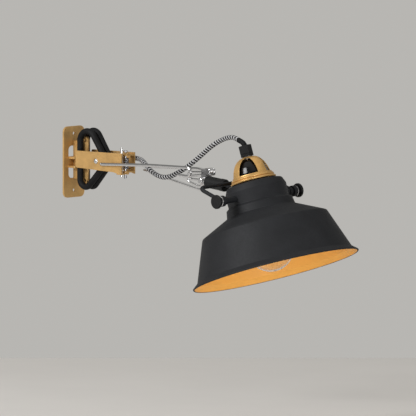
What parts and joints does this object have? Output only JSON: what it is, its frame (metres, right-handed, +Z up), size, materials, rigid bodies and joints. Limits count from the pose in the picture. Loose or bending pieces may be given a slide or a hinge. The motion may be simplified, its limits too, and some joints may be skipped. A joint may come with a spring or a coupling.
{
  "type": "wall lamp",
  "caption": "Adjustable wall lamp: a spring clamp with rubber sleeved loops grips a gold wall plate and carries a black bell shade in a tilting yoke on wire handles.",
  "frame": {"origin": "centre of the wall plate's back face, on the wall", "axes": "+X out of the wall along the arm, +Z up, -Y the side of the jaw that opens"},
  "size_m": [0.4586, 0.2125, 0.1985],
  "materials": {
    "gold_paint": "satin gold paint on sheet steel",
    "gold_dome": "satin gold paint on spun steel",
    "chrome": "polished chrome plate",
    "steel": "plain zinc plated steel",
    "black_rubber": "matte black rubber",
    "black_paint": "matte black powder coat",
    "black_plastic": "matte black plastic",
    "gloss_black": "glossy black plastic",
    "clear_glass": "clear glass",
    "bulb_brass": "thin stamped metal cap",
    "filament_yellow": "pale yellow filament rods",
    "textile_cord": "black and white zigzag textile"
  },
  "bodies": {
    "bracket": {"wall_plate": "gold_paint", "grip_tongue": "gold_paint", "wall_grommet": "black_rubber", "far_jaw_strip": "gold_paint", "far_loop_wire": "chrome", "far_loop_sleeve": "black_rubber", "far_loop_anchor": "steel", "far_strip_screw": "chrome", "far_strip_nut": "steel", "pivot_pin": "steel", "torsion_spring": "steel", "far_handle": "chrome", "arm_clamp": "steel", "outer_shackle": "chrome", "inner_shackle": "chrome", "tilt_bolt": "chrome", "tilt_nut": "chrome", "cord_arm": "textile_cord"},
    "near_jaw": {"near_jaw_strip": "gold_paint", "near_loop_wire": "chrome", "near_loop_sleeve": "black_rubber", "near_loop_anchor": "steel", "near_strip_screw": "chrome", "near_strip_nut": "steel", "spring_post": "chrome", "near_handle": "chrome"},
    "swivel": {"swivel_eye": "chrome", "swivel_barrel": "black_plastic", "barrel_cap": "black_plastic"},
    "yoke": {"yoke_rod": "black_paint", "yoke_stem": "black_paint", "left_washer": "chrome", "right_washer": "chrome"},
    "shade": {"shade": "black_paint", "dome_gallery": "gold_dome", "left_bush": "black_paint", "right_bush": "black_paint", "lamp_holder": "gloss_black", "holder_ring": "gloss_black", "nipple": "steel", "gland_nut": "steel", "cord_gland": "black_plastic", "gland_cap": "black_plastic", "cord_sleeve": "black_rubber", "bulb_glass": "clear_glass", "bulb_cap": "bulb_brass", "filament": "filament_yellow"},
    "left_knob": {"left_knob": "black_plastic"},
    "right_knob": {"right_knob": "black_plastic"}
  },
  "joints": [
    {"name": "jaw_open", "type": "hinge", "parent": "bracket", "child": "near_jaw", "pos_m": [0.0945, 0, 0], "axis": [0, 0, 1], "range_deg": [0, 5], "stiffness_Nm_per_rad": 2, "springref_deg": -34.38, "deforming": ["torsion_spring"]},
    {"name": "arm_tilt", "type": "hinge", "parent": "bracket", "child": "swivel", "pos_m": [0.232, 0, -0.009], "axis": [0, 1, 0], "range_deg": [-20, 20], "deforming": ["cord_arm"]},
    {"name": "yoke_swivel", "type": "hinge", "parent": "swivel", "child": "yoke", "pos_m": [0.232, 0, -0.009], "axis": [0.9962, 0, -0.0872], "range_deg": [-37, 33], "deforming": ["cord_arm"]},
    {"name": "shade_tilt", "type": "hinge", "parent": "yoke", "child": "shade", "pos_m": [0.328, 0.00015, -0.0218], "axis": [0.003, 0.9994, 0.0348], "range_deg": [-15, 30], "deforming": ["cord_arm"]},
    {"name": "left_knob_turn", "type": "hinge", "parent": "shade", "child": "left_knob", "pos_m": [0.32778, -0.0718, -0.0243], "axis": [-0.003, -0.9994, -0.0348], "range_deg": [0, 300]},
    {"name": "right_knob_turn", "type": "hinge", "parent": "shade", "child": "right_knob", "pos_m": [0.32822, 0.07211, -0.01929], "axis": [0.003, 0.9994, 0.0348], "range_deg": [0, 300]}
  ]
}
